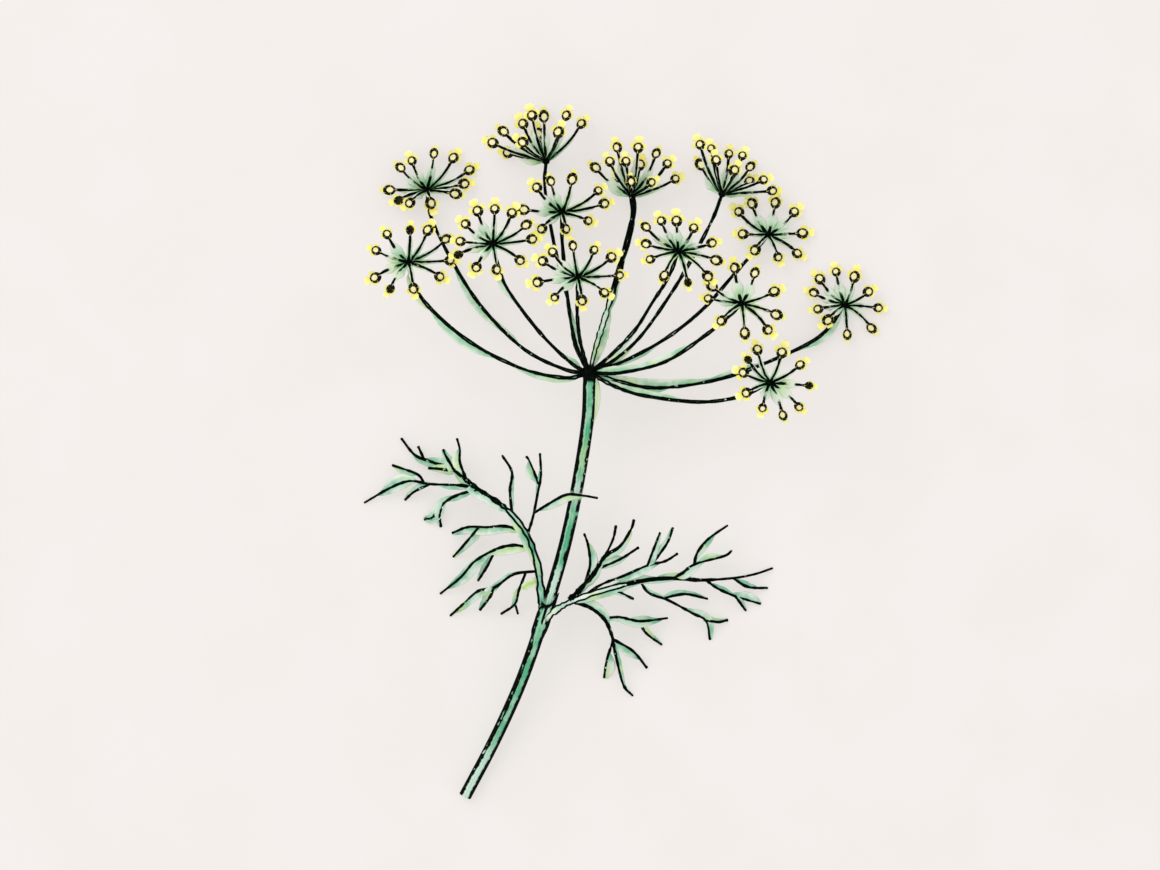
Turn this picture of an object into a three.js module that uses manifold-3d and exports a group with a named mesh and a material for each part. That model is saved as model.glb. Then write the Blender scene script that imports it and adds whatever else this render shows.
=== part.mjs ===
// One flowering stem of dill, cut and laid down. Millimetres, +Z up, the surface it lies on is z = 0.
// The stem runs from its cut end at -Y to the hub at +Y. Thirteen rays leave the hub, each with an
// umbellet at its end: short pedicels from one knot, with a floret on each. Two feathery leaves clasp
// the stem, each a stalk with leaflets. Neighbouring pieces keep a gap of GAP between them.

import * as THREE from 'three';
import { mergeVertices } from 'three/addons/utils/BufferGeometryUtils.js';
import Module from 'manifold-3d';

const wasm = await Module();
wasm.setup();

// Driving dimensions. A rod has a radius at its start and one at its end.
const GRID = 0.25; // one square of the plan grid
const PLAN_CENTRE = { x: 623, y: 455 }; // the grid square over the origin
const GAP = 0.3;
const STEM_RADIUS = { start: 1.55, end: 1.3 };
const HUB_RADIUS = 2.1;
const HUB_HEIGHT = 20;
const COLLAR_WALL = 0.55;
const RAY_RADIUS = { start: 0.52, end: 0.42 };
const ARRIVAL_SLOPE = 0.5; // a ray's slope as it meets a raised knot
const KNOT_RADIUS = 0.8;
const DOME_RISE = 5; // how far the middle florets stand above the knot
const DOME_DROP = 1; // how far the outermost florets hang below it
const FAN_DEPTH = 0.55; // a fan's half depth, as a share of its reach
const PEDICEL_RADIUS = { start: 0.34, end: 0.28 };
const PEDICEL_ARCH = new THREE.Vector3(0.7, 0.42, 0.85); // shares of the way to the floret
const PEDICEL_ENTRY = 0.5; // a pedicel ends this far below its floret's middle
const FLORET_RADIUS = 1.35;
const FLORET_PROFILE = [[0, -1.08], [FLORET_RADIUS, 0.13], [0.95, 0.75], [0, 0.8]];
const FACE_LIFT = 2.2; // how far a floret looks up for each millimetre that it looks outwards
const STALK_RADIUS = { start: 0.85, end: 0.25 };
const LEAFLET_RADIUS = { start: 0.42, end: 0.24 };
const FORK_THINNING = 0.85; // a fork's first radius, as a share of its parent's
const LEAFLET_BEND = 1.3; // over 1 a leaflet bends down late, under 1 it bends early
const TIP_HEIGHT = 0.3; // a leaf tip that lies on the surface

// Facets: the sides of a rod and the length of one step along it, the sides and rings of a ball.
const FACETS = {
  stem: { sides: 10, step: 7 },
  hub: { sides: 10, rings: 6 },
  ray: { sides: 6, step: 5.5 },
  knot: { sides: 5, rings: 3 },
  pedicel: { sides: 4, step: 7 },
  floret: { sides: 5 },
  stalk: { sides: 8, step: 4 },
  leaflet: { sides: 4, step: 4.5 },
};
const CURVE_SAMPLES = 200;
const RAY_SAMPLES = 12;
const WELD = 1e-4;

// Routes are drawn on the plan grid, x to the right and y towards the cut end. A third number is a
// height above the surface.
const HUB = [589.5, 373];
const STEM_ROUTE = [
  [465, 796],
  [494, 741],
  [520, 684],
  [540, 628],
  [557, 573],
  [567, 536],
  [577, 488],
  [587, 425],
  [589, 385],
  HUB,
];

// Each ray: the points that it passes, the knot that it ends at, its slope as it leaves the hub, and
// the florets of its umbellet. An umbellet with no height rests on the surface by its lowest floret.
// A fan is an umbellet turned on its side.
const RAYS = [
  {
    route: [[566, 370], [525, 350], [485, 311], [456, 268], [432, 220]],
    knot: [427, 190],
    slope: -0.7,
    florets: [[401, 168], [412, 161], [434, 154], [453, 158], [469, 170], [464, 184], [455, 194],
      [431, 203], [410, 203], [399, 200], [390, 190]],
  },
  {
    route: [[565, 378], [520, 368], [470, 342], [432, 310], [414, 285]],
    knot: [409, 263],
    height: 27,
    slope: 0.14,
    florets: [[388, 235], [411, 231], [428, 231], [446, 240], [450, 261], [440, 277], [414, 289],
      [391, 289], [376, 278], [377, 251]],
  },
  {
    route: [[582, 361], [575, 345], [571, 323], [566, 292], [554, 244], [545, 190]],
    knot: [546, 161],
    fan: true,
    slope: -0.95,
    florets: [[493, 143], [504, 132], [523, 124], [532, 116], [544, 117], [566, 116], [581, 124],
      [558, 133], [539, 134], [523, 143], [508, 153]],
  },
  {
    route: [[583, 361], [576, 345], [571, 323], [567, 292], [562, 240]],
    knot: [562, 213],
    height: 12,
    slope: -0.03,
    florets: [[537, 188], [551, 182], [572, 180], [598, 191], [604, 204], [588, 221], [566, 229],
      [542, 229], [524, 210]],
  },
  {
    route: [[572, 364], [540, 333], [508, 290], [497, 262]],
    knot: [493, 245],
    height: 33,
    slope: 0.84,
    florets: [[466, 225], [478, 212], [495, 210], [512, 214], [526, 226], [532, 240], [520, 261],
      [497, 270], [477, 268], [459, 255], [461, 242]],
  },
  {
    route: [[595, 350], [602, 327], [609, 304], [625, 250], [633, 215]],
    knot: [632, 196],
    fan: true,
    slope: -0.9,
    florets: [[596, 168], [610, 162], [617, 148], [638, 148], [656, 154], [667, 164], [675, 179],
      [651, 183], [640, 165], [631, 182], [619, 178], [626, 162]],
  },
  {
    route: [[583, 353], [579, 335], [577, 309]],
    knot: [578, 278],
    height: 36,
    slope: 1,
    florets: [[543, 262], [553, 253], [573, 247], [594, 251], [611, 258], [619, 276], [604, 293],
      [582, 301], [555, 298], [538, 283]],
  },
  {
    route: [[612, 354], [635, 330], [652, 303], [668, 278]],
    knot: [678, 252],
    height: 36,
    slope: 0.7,
    florets: [[646, 228], [661, 222], [676, 222], [693, 229], [711, 244], [715, 261], [707, 277],
      [687, 283], [664, 276], [650, 260], [646, 245]],
  },
  {
    route: [[614, 360], [640, 337], [668, 298], [690, 262], [712, 220]],
    knot: [722, 194],
    fan: true,
    slope: -0.84,
    florets: [[700, 145], [711, 149], [701, 165], [716, 161], [729, 154], [742, 156], [750, 167],
      [734, 171], [749, 181], [763, 180], [772, 191]],
  },
  {
    route: [[622, 362], [665, 339], [703, 309], [735, 273], [753, 253]],
    knot: [768, 235],
    slope: -0.03,
    florets: [[739, 212], [752, 204], [775, 203], [794, 212], [802, 233], [797, 253], [778, 257],
      [755, 250], [743, 234]],
  },
  {
    route: [[620, 373], [665, 362], [703, 337], [727, 318]],
    knot: [741, 304],
    height: 32,
    slope: 0.78,
    florets: [[734, 269], [754, 274], [773, 292], [775, 315], [767, 330], [744, 333], [721, 321],
      [708, 299], [712, 287]],
  },
  {
    route: [[620, 382], [660, 388], [720, 379], [775, 359], [820, 336]],
    knot: [845, 305],
    slope: -0.78,
    florets: [[820, 279], [836, 272], [854, 277], [868, 292], [878, 308], [871, 328], [847, 334],
      [828, 320], [818, 309], [814, 293]],
  },
  {
    route: [[616, 387], [645, 396], [700, 402], [742, 396]],
    knot: [769, 383],
    height: 26,
    slope: 0.09,
    florets: [[743, 373], [748, 360], [757, 350], [781, 353], [799, 365], [808, 386], [798, 407],
      [782, 415], [762, 408], [746, 393]],
  },
];

// Each leaf: where its collar clasps the stem, its stalk from the collar to the tip, the forks of the
// stalk, and its leaflets. A leaflet has its own forks, or grows from another leaflet.
const LEAVES = {
  leaf_left: {
    collar: { square: [548, 599], length: 2.2 },
    stalk: [[543, 616, 9.6], [540, 606, 10], [539, 592, 10.8], [536, 560, 12.3], [527, 536, 13],
      [512, 514, 12.5], [495, 500, 11], [474, 486, 8.5], [455, 471, 5.5], [432, 462, 3],
      [415, 455, 1.6], [401, 438, TIP_HEIGHT]],
    forks: [
      { route: [[455, 471], [440, 469], [428, 468]], tip: 3.5 },
      { route: [[455, 471], [446, 456], [443, 449]], tip: 5 },
      { route: [[467, 481], [460, 462], [460, 450], [457, 438]], tip: 6.5 },
      { route: [[424, 459], [418, 446]], tip: 1.5 },
    ],
    leaflets: [
      {
        route: [[474, 487], [457, 485], [430, 484], [410, 481], [390, 488], [364, 503]],
        tip: TIP_HEIGHT,
        forks: [
          { route: [[424, 483], [417, 474], [392, 465]], tip: 1.5 },
          { route: [[430, 484], [414, 492], [405, 500]], tip: TIP_HEIGHT },
        ],
      },
      {
        route: [[479, 490], [460, 494], [444, 503], [433, 517], [424, 519]],
        tip: TIP_HEIGHT,
        forks: [{ route: [[444, 503], [440, 515], [441, 527]], tip: TIP_HEIGHT }],
      },
      { route: [[512, 512], [510, 490], [512, 472], [502, 455]], tip: 9, forks: [] },
      {
        route: [[527, 536], [533, 517], [538, 492], [541, 475], [540, 453]],
        tip: 16,
        forks: [{ route: [[539, 484], [530, 462], [526, 456]], tip: 15 }],
      },
      {
        route: [[534, 513], [545, 506], [565, 495], [580, 495], [598, 498]],
        tip: 20,
        bend: 0.6,
        from: 3,
        forks: [],
      },
      {
        route: [[524, 531], [505, 526], [487, 527], [468, 527], [452, 533]],
        tip: 1.5,
        forks: [{ route: [[479, 527], [463, 546], [453, 557]], tip: TIP_HEIGHT }],
      },
      {
        route: [[533, 548], [513, 545], [494, 550], [474, 562], [461, 577], [440, 594]],
        tip: TIP_HEIGHT,
        forks: [{ route: [[495, 550], [488, 565], [478, 581]], tip: TIP_HEIGHT }],
      },
      {
        route: [[537, 571], [514, 574], [495, 587], [478, 591], [462, 605], [450, 616]],
        tip: TIP_HEIGHT,
        forks: [
          { route: [[494, 588], [490, 597], [480, 610]], tip: 1.5 },
          {
            route: [[526, 572], [519, 590], [515, 604], [501, 614]],
            tip: TIP_HEIGHT,
            forks: [{ route: [[515, 603], [518, 614]], tip: 1.5 }],
          },
        ],
      },
    ],
  },
  leaf_right: {
    collar: { square: [541.5, 620.5], length: 3.2 },
    stalk: [[539, 627, 9.2], [548, 618, 9.6], [557, 610, 10.2], [574, 600, 11.2], [600, 591, 12],
      [640, 581, 11], [672, 578, 9], [700, 580, 6.8], [733, 578, 4], [755, 574, 2],
      [773, 568, TIP_HEIGHT]],
    forks: [{ route: [[733, 578], [748, 587], [768, 588]], tip: TIP_HEIGHT }],
    leaflets: [
      {
        route: [[706, 580], [717, 588], [735, 596], [761, 604]],
        tip: TIP_HEIGHT,
        forks: [{ route: [[735, 596], [741, 604], [746, 611]], tip: TIP_HEIGHT }],
      },
      {
        route: [[672, 578], [682, 573], [695, 564], [724, 556], [732, 550]],
        tip: 5,
        forks: [{ route: [[694, 565], [697, 553], [708, 539], [728, 525]], tip: 7 }],
      },
      {
        route: [[576, 601], [600, 585], [625, 575], [648, 565], [665, 561], [678, 553]],
        tip: 13,
        forks: [
          { route: [[647, 566], [655, 545], [660, 532]], tip: 15 },
          { route: [[652, 564], [667, 543], [673, 527]], tip: 14 },
        ],
      },
      {
        route: [[568, 604], [583, 586], [594, 573], [605, 556], [620, 546], [631, 529], [634, 519]],
        tip: 14,
        forks: [
          { route: [[584, 585], [590, 565], [588, 545], [584, 533]], tip: 13 },
          { route: [[605, 556], [613, 539], [616, 525]], tip: 15 },
          { route: [[597, 569], [620, 559], [639, 547]], tip: 11 },
        ],
      },
      { route: [[603, 590], [617, 591], [634, 599]], tip: 8, forks: [] },
      {
        route: [[640, 581], [649, 593], [668, 600], [692, 613], [706, 621], [710, 640]],
        tip: TIP_HEIGHT,
        forks: [
          { route: [[663, 598], [685, 594], [708, 599]], tip: 2 },
          { route: [[704, 620], [718, 622], [728, 620]], tip: TIP_HEIGHT },
        ],
      },
      {
        route: [[573, 601], [591, 608], [605, 620], [612, 636], [615, 652], [623, 684], [633, 696]],
        tip: TIP_HEIGHT,
        forks: [
          {
            route: [[603, 618], [620, 617], [640, 621], [668, 618]],
            tip: 1.5,
            forks: [{ route: [[639, 621], [646, 633], [662, 645]], tip: TIP_HEIGHT }],
          },
          { route: [[613, 641], [607, 659], [604, 678]], tip: TIP_HEIGHT },
          { route: [[613, 639], [633, 651], [647, 668]], tip: TIP_HEIGHT },
        ],
      },
    ],
  },
};

const MATERIALS = {
  stem: { color: 0x6db589, roughness: 0.55, metalness: 0 },
  ray: { color: 0x2c7a55, roughness: 0.6, metalness: 0 },
  leaf: { color: 0x4c9a70, roughness: 0.6, metalness: 0 },
  floret: { color: 0xf7e463, roughness: 0.7, metalness: 0 },
};

// Places and routes

function onPlan([x, y], height = 0) {
  return new THREE.Vector3((x - PLAN_CENTRE.x) * GRID, (PLAN_CENTRE.y - y) * GRID, height);
}

// A smooth curve through plan points whose height is a function of the share of the length passed.
function routeCurve(route, heightAt) {
  const points = route.map((square) => onPlan(square));
  const passed = [0];
  for (let i = 1; i < points.length; i++) {
    passed.push(passed[i - 1] + points[i].distanceTo(points[i - 1]));
  }
  const whole = passed[passed.length - 1];
  points.forEach((point, i) => point.setZ(heightAt(passed[i] / whole, whole)));
  return new THREE.CatmullRomCurve3(points);
}

const inSpace = (a, b) => a.distanceTo(b);
const inPlan = (a, b) => Math.hypot(a.x - b.x, a.y - b.y);

function nearest(points, target, distance) {
  let best = 0;
  for (let i = 1; i < points.length; i++) {
    if (distance(points[i], target) < distance(points[best], target)) best = i;
  }
  return best;
}

function heightOver(curve, square) {
  const points = curve.getSpacedPoints(CURVE_SAMPLES);
  return points[nearest(points, onPlan(square), inPlan)].z;
}

// Solids

function solid(geometry) {
  geometry.deleteAttribute('normal');
  geometry.deleteAttribute('uv');
  const merged = mergeVertices(geometry, WELD);
  const vertProperties = new Float32Array(merged.attributes.position.array);
  const triVerts = new Uint32Array(merged.index.array);
  return new wasm.Manifold(new wasm.Mesh({ numProp: 3, vertProperties, triVerts }));
}

function pieceMesh(name, manifold, material) {
  const { vertProperties, triVerts } = manifold.getMesh();
  const geometry = new THREE.BufferGeometry();
  geometry.setAttribute('position', new THREE.BufferAttribute(vertProperties, 3));
  geometry.setIndex(new THREE.BufferAttribute(triVerts, 1));
  geometry.computeVertexNormals();
  const mesh = new THREE.Mesh(geometry, new THREE.MeshStandardMaterial(material));
  mesh.name = name;
  return mesh;
}

// A round rod along a curve, tapered from its start radius to its end radius.
function rod(curve, radius, facets) {
  const steps = Math.max(2, Math.round(curve.getLength() / facets.step));
  const section = new THREE.Shape().absarc(0, 0, radius.start, 0, 2 * Math.PI);
  const geometry = new THREE.ExtrudeGeometry(section, {
    curveSegments: facets.sides / 2,
    steps,
    extrudePath: curve,
    bevelEnabled: false,
  });
  const spine = curve.getSpacedPoints(steps);
  const position = geometry.attributes.position;
  const point = new THREE.Vector3();
  for (let i = 0; i < position.count; i++) {
    point.fromBufferAttribute(position, i);
    const step = nearest(spine, point, inSpace);
    const scale = THREE.MathUtils.lerp(1, radius.end / radius.start, step / steps);
    point.sub(spine[step]).multiplyScalar(scale).add(spine[step]);
    position.setXYZ(i, point.x, point.y, point.z);
  }
  return solid(geometry);
}

// The space that a rod needs around it: the rod, wider by GAP.
function clearance(curve, radius, facets) {
  return rod(curve, { start: radius.start + GAP, end: radius.end + GAP }, facets);
}

function ball(radius, facets, centre) {
  const geometry = new THREE.SphereGeometry(radius, facets.sides, facets.rings);
  geometry.translate(centre.x, centre.y, centre.z);
  return solid(geometry);
}

// Stem: it climbs evenly from its cut end to the hub, where it swells into a knob.
const stemCurve = routeCurve(STEM_ROUTE, (share) =>
  THREE.MathUtils.lerp(STEM_RADIUS.start, HUB_HEIGHT, share));

function makeStem() {
  const hub = ball(HUB_RADIUS, FACETS.hub, onPlan(HUB, HUB_HEIGHT));
  return rod(stemCurve, STEM_RADIUS, FACETS.stem).add(hub);
}

// Umbellets

// A floret's place against its knot: on a dome over the knot, or spread around a fan.
function floretOffset(ray, square, index) {
  const offset = onPlan(square).sub(onPlan(ray.knot));
  const reach = Math.max(...ray.florets.map((other) => inPlan(onPlan(other), onPlan(ray.knot))));
  const share = offset.length() / reach;
  if (ray.fan) {
    const side = index % 2 ? 1 : -1;
    offset.z = side * FAN_DEPTH * reach * Math.sqrt(1 - share ** 2);
  } else {
    offset.z = DOME_RISE - (DOME_RISE + DOME_DROP) * share ** 2;
  }
  return offset;
}

// The way that a floret faces: up, and a little outwards from its knot.
function floretFacing(offset) {
  const outward = offset.clone().setZ(0).normalize();
  return outward.setZ(FACE_LIFT).normalize();
}

function makeFloret(offset) {
  const profile = FLORET_PROFILE.map(([radius, height]) => new THREE.Vector2(radius, height));
  const geometry = new THREE.LatheGeometry(profile, FACETS.floret.sides);
  const axis = new THREE.Vector3(0, 1, 0);
  geometry.applyQuaternion(new THREE.Quaternion().setFromUnitVectors(axis, floretFacing(offset)));
  geometry.translate(offset.x, offset.y, offset.z);
  return solid(geometry);
}

function makePedicel(offset) {
  const foot = offset.clone().addScaledVector(floretFacing(offset), -PEDICEL_ENTRY);
  const arch = offset.clone().multiply(PEDICEL_ARCH);
  const curve = new THREE.QuadraticBezierCurve3(new THREE.Vector3(), arch, foot);
  return rod(curve, PEDICEL_RADIUS, FACETS.pedicel);
}

// The umbellet around its own knot.
function makeUmbellet(ray) {
  let umbellet = ball(KNOT_RADIUS, FACETS.knot, new THREE.Vector3());
  ray.florets.forEach((square, index) => {
    const offset = floretOffset(ray, square, index);
    umbellet = umbellet.add(makePedicel(offset)).add(makeFloret(offset));
  });
  return umbellet;
}

// Rays

// A ray's height follows a cubic from the hub, at the ray's own slope, to the knot. A ray rises to a
// raised knot and runs level into one at the surface.
function makeRay(ray, knotHeight) {
  const arrival = ray.height ? ARRIVAL_SLOPE : 0;
  const curve = routeCurve([HUB, ...ray.route, ray.knot], (share, whole) => {
    const left = 1 - share;
    const risen = share * share * (3 - 2 * share);
    const bow = whole * share * left * (ray.slope * left - arrival * share);
    return THREE.MathUtils.lerp(HUB_HEIGHT, knotHeight, risen) + bow;
  });
  const from = (HUB_RADIUS + GAP) / curve.getLength();
  const to = 1 - (KNOT_RADIUS + GAP) / curve.getLength();
  const points = [];
  for (let i = 0; i <= RAY_SAMPLES; i++) {
    points.push(curve.getPointAt(THREE.MathUtils.lerp(from, to, i / RAY_SAMPLES)));
  }
  return rod(new THREE.CatmullRomCurve3(points), RAY_RADIUS, FACETS.ray);
}

// Leaves

// A leaflet or fork leaves its parent at the parent's height and bends to the height of its tip.
function sproutCurve(parent, sprout) {
  const start = heightOver(parent, sprout.route[0]);
  const bend = sprout.bend ?? LEAFLET_BEND;
  return routeCurve(sprout.route, (share) => THREE.MathUtils.lerp(start, sprout.tip, share ** bend));
}

function makeSprout(parent, sprout, startRadius) {
  const curve = sproutCurve(parent, sprout);
  const radius = { start: startRadius, end: LEAFLET_RADIUS.end };
  let body = rod(curve, radius, FACETS.leaflet);
  for (const fork of sprout.forks ?? []) {
    body = body.add(makeSprout(curve, fork, FORK_THINNING * startRadius));
  }
  return body;
}

// The collar stands around the stem at its place, in line with it.
function makeCollar({ square, length }) {
  const points = stemCurve.getSpacedPoints(CURVE_SAMPLES);
  const step = nearest(points, onPlan(square, heightOver(stemCurve, square)), inSpace);
  const along = stemCurve.getTangentAt(step / CURVE_SAMPLES);
  const outer = STEM_RADIUS.start + GAP + COLLAR_WALL;
  const geometry = new THREE.CylinderGeometry(outer, outer, length, FACETS.stem.sides);
  const axis = new THREE.Vector3(0, 1, 0);
  geometry.applyQuaternion(new THREE.Quaternion().setFromUnitVectors(axis, along));
  geometry.translate(points[step].x, points[step].y, points[step].z);
  return solid(geometry);
}

function makeLeaf(name, leaf, material) {
  const group = new THREE.Group();
  const stalkCurve = new THREE.CatmullRomCurve3(leaf.stalk.map(([x, y, z]) => onPlan([x, y], z)));

  let stalk = rod(stalkCurve, STALK_RADIUS, FACETS.stalk);
  for (const fork of leaf.forks) {
    stalk = stalk.add(makeSprout(stalkCurve, fork, FORK_THINNING * LEAFLET_RADIUS.start));
  }
  const aroundStem = clearance(stemCurve, STEM_RADIUS, FACETS.stem);
  stalk = stalk.add(makeCollar(leaf.collar)).subtract(aroundStem);
  group.add(pieceMesh(`${name}_stalk`, stalk, material));

  // A leaflet stands clear of the stalk, or of the leaflet that it grows from.
  const aroundStalk = clearance(stalkCurve, STALK_RADIUS, FACETS.stalk);
  leaf.leaflets.forEach((leaflet, index) => {
    let parent = stalkCurve;
    let around = aroundStalk;
    if (leaflet.from !== undefined) {
      parent = sproutCurve(stalkCurve, leaf.leaflets[leaflet.from]);
      around = clearance(parent, LEAFLET_RADIUS, FACETS.stalk);
    }
    const body = makeSprout(parent, leaflet, LEAFLET_RADIUS.start).subtract(around);
    group.add(pieceMesh(`${name}_leaflet_${index + 1}`, body, material));
  });
  return group;
}

const dill = new THREE.Group();
dill.add(pieceMesh('stem', makeStem(), MATERIALS.stem));
RAYS.forEach((ray, index) => {
  const umbellet = makeUmbellet(ray);
  const knotHeight = ray.height ?? -umbellet.boundingBox().min[2];
  const placed = pieceMesh(`umbellet_${index + 1}`, umbellet, MATERIALS.floret);
  placed.position.copy(onPlan(ray.knot, knotHeight));
  dill.add(placed);
  dill.add(pieceMesh(`ray_${index + 1}`, makeRay(ray, knotHeight), MATERIALS.ray));
});
for (const [name, leaf] of Object.entries(LEAVES)) {
  dill.add(makeLeaf(name, leaf, MATERIALS.leaf));
}

export default dill;
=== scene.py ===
import math

import bmesh
import bpy
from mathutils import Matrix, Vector
from mathutils.geometry import interpolate_bezier


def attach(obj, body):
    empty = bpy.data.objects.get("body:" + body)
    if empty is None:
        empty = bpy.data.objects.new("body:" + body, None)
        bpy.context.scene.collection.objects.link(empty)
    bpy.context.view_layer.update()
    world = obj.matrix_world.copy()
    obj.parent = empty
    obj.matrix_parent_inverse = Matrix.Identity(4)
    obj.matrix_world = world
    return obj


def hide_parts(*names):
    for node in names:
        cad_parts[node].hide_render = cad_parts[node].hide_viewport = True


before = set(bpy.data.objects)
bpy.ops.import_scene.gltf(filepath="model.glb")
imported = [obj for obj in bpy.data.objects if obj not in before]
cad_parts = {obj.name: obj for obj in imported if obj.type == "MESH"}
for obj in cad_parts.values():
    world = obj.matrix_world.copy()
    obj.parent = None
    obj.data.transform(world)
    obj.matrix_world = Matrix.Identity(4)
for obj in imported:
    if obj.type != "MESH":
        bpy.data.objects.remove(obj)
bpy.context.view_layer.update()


# ---- Stem and hub ----
# The stem is a juicy round stalk with fine ribs, dark green along its sides and pale down its
# middle. It is cut straight across at the foot, where the pith shows, and its top end swells into
# the hub that carries the rays.

MM = 0.001
GRID = 0.25 * MM  # one square of the plan grid: x to the right, y towards the cut end
PLAN_CENTRE = (623, 455)  # the grid square over the origin
HUB = (589.5, 373)
HUB_HEIGHT = 20 * MM
HUB_RADIUS = 2.05 * MM
STEM_ROUTE = [
    (465, 796), (494, 741), (520, 684), (540, 628), (557, 573), (567, 536), (577, 488), (587, 425),
    (589, 385), HUB,
]
STEM_GIRTH = 1.54 * MM
STEM_RIBS = 15
STEM_RIB_DEPTH = 0.035
NODE_SHARE = 0.457  # how far along the stem the leaves leave it


def on_plan(x, y, height=0.0):
    return Vector(((x - PLAN_CENTRE[0]) * GRID, (PLAN_CENTRE[1] - y) * GRID, height))


def between(start, end, share):
    return start + (end - start) * share


def smooth(points, steps=6):
    """A rounded curve through the points."""
    padded = [2 * points[0] - points[1], *points, 2 * points[-1] - points[-2]]
    curve = []
    for before, here, there, after in zip(padded, padded[1:], padded[2:], padded[3:]):
        leaving = here + (there - before) / 6
        arriving = there - (after - here) / 6
        curve += interpolate_bezier(here, leaving, arriving, there, steps + 1)[:-1]
    return curve + [points[-1]]


def shares(points):
    """How far along the curve each point lies, from 0 to 1."""
    passed = [0.0]
    for here, there in zip(points, points[1:]):
        passed.append(passed[-1] + (there - here).length)
    return [step / passed[-1] for step in passed]


def climbing(squares, height_at):
    """A curve over the plan squares, with a height for each share of its length in plan."""
    flat = [on_plan(*square) for square in squares]
    length = sum((there - here).length for here, there in zip(flat, flat[1:]))
    raised = [Vector((p.x, p.y, height_at(share, length))) for p, share in zip(flat, shares(flat))]
    return smooth(raised)


def none(share):
    return 0.0


def wings(*patches):
    """The width of a pale margin that swells from each patch's start to its end. A patch is its
    start and end as shares of the length, and its width in millimetres."""
    def width(share):
        inside = [p for p in patches if p[0] < share < p[1]]
        return MM * sum(size * math.sin(math.pi * (share - start) / (end - start)) ** 0.7
                        for start, end, size in inside)
    return width


def noted(mesh, facts, kind="FLOAT"):
    """The mesh with facts kept on its points."""
    field = "value" if kind == "FLOAT" else "vector"
    for name, values in facts.items():
        mesh.attributes.new(name, kind, "POINT").data.foreach_set(field, values)
    return mesh


def routed(name, strands):
    """Strands as polylines. A strand is its points, and its girth and the widths of its left and
    right margins at any share of its length."""
    places, edges, across = [], [], []
    facts = {"along": [], "girth": [], "left": [], "right": []}
    for points, girth, left, right in strands:
        first = len(places)
        edges += [(first + i, first + i + 1) for i in range(len(points) - 1)]
        places += points
        for i, share in enumerate(shares(points)):
            ahead = points[min(i + 1, len(points) - 1)] - points[max(i - 1, 0)]
            across.extend(Vector((ahead.y, -ahead.x, 0)).normalized())
            facts["along"].append(share)
            facts["girth"].append(girth(share))
            facts["left"].append(left(share))
            facts["right"].append(right(share))
    mesh = bpy.data.meshes.new(name)
    mesh.from_pydata(places, edges, [])
    return noted(noted(mesh, facts), {"across": across}, "FLOAT_VECTOR")


def placed(name, data):
    """An object in the scene, at the origin."""
    item = bpy.data.objects.new(name, data)
    bpy.context.scene.collection.objects.link(item)
    return item


def stands_for(node, piece):
    """Fixes a piece to the plant, in place of the plain node that it finishes."""
    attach(piece, "root")
    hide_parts(node)


class Wire:
    """A value on its way between two nodes. Sums and products of wires add Math nodes."""

    def __init__(self, tree, socket=None):
        self.tree = tree
        self.socket = socket

    @staticmethod
    def pick(sockets, wanted):
        live = [socket for socket in sockets if socket.enabled]
        if isinstance(wanted, int):
            return live[wanted]
        return next(socket for socket in live if socket.name == wanted)

    def node(self, kind, settings=None, inputs=None, output=0):
        node = self.tree.nodes.new(kind)
        for name, setting in (settings or {}).items():
            setattr(node, name, setting)
        for name, value in (inputs or {}).items():
            for each in value if isinstance(value, list) else [value]:
                socket = self.pick(node.inputs, name)
                if isinstance(each, Wire):
                    self.tree.links.new(each.socket, socket)
                else:
                    socket.default_value = each
        return Wire(self.tree, None if output is None else self.pick(node.outputs, output))

    def out(self, name):
        return Wire(self.tree, self.pick(self.socket.node.outputs, name))

    def math(self, operation, *terms):
        return self.node("ShaderNodeMath", {"operation": operation}, dict(enumerate(terms)))

    def __add__(self, other):
        return self.math("ADD", self, other)

    __radd__ = __add__

    def __sub__(self, other):
        return self.math("SUBTRACT", self, other)

    def __rsub__(self, other):
        return self.math("SUBTRACT", other, self)

    def __mul__(self, other):
        return self.math("MULTIPLY", self, other)

    __rmul__ = __mul__

    def __truediv__(self, other):
        return self.math("DIVIDE", self, other)

    def __abs__(self):
        return self.math("ABSOLUTE", self)

    def above(self, low, high):
        """0 below low, 1 above high, smooth between."""
        settings = {"interpolation_type": "SMOOTHSTEP"}
        limits = {"Value": self, "From Min": low, "From Max": high}
        return self.node("ShaderNodeMapRange", settings, limits)

    def blend(self, under, over):
        """One colour where the wire is 0, the other where it is 1."""
        colours = {"Factor": self, "A": under, "B": over}
        return self.node("ShaderNodeMix", {"data_type": "RGBA"}, colours, "Result")


def growing_tree(name, sizes):
    """A tree with one geometry in and one out, and a named input for each size."""
    tree = bpy.data.node_groups.new(name, "GeometryNodeTree")
    tree.interface.new_socket("Geometry", in_out="INPUT", socket_type="NodeSocketGeometry")
    for size, (kind, usual) in sizes.items():
        socket = tree.interface.new_socket(size, in_out="INPUT", socket_type="NodeSocket" + kind)
        if usual is not None:
            socket.default_value = usual
    tree.interface.new_socket("Geometry", in_out="OUTPUT", socket_type="NodeSocketGeometry")
    return Wire(tree).node("NodeGroupInput", output="Geometry")


def grow(name, mesh, start, sizes):
    """The plain mesh that a tree makes of the mesh, as a piece of its own."""
    piece = placed(name, mesh)
    growth = piece.modifiers.new("growth", "NODES")
    growth.node_group = start.tree
    for socket in start.tree.interface.items_tree:
        if socket.in_out == "INPUT" and socket.name in sizes:
            growth[socket.identifier] = sizes[socket.name]
    view = bpy.context.evaluated_depsgraph_get()
    grown = bpy.data.meshes.new_from_object(piece.evaluated_get(view))
    piece.modifiers.remove(growth)
    piece.data = grown
    grown.name = name
    return piece


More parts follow.
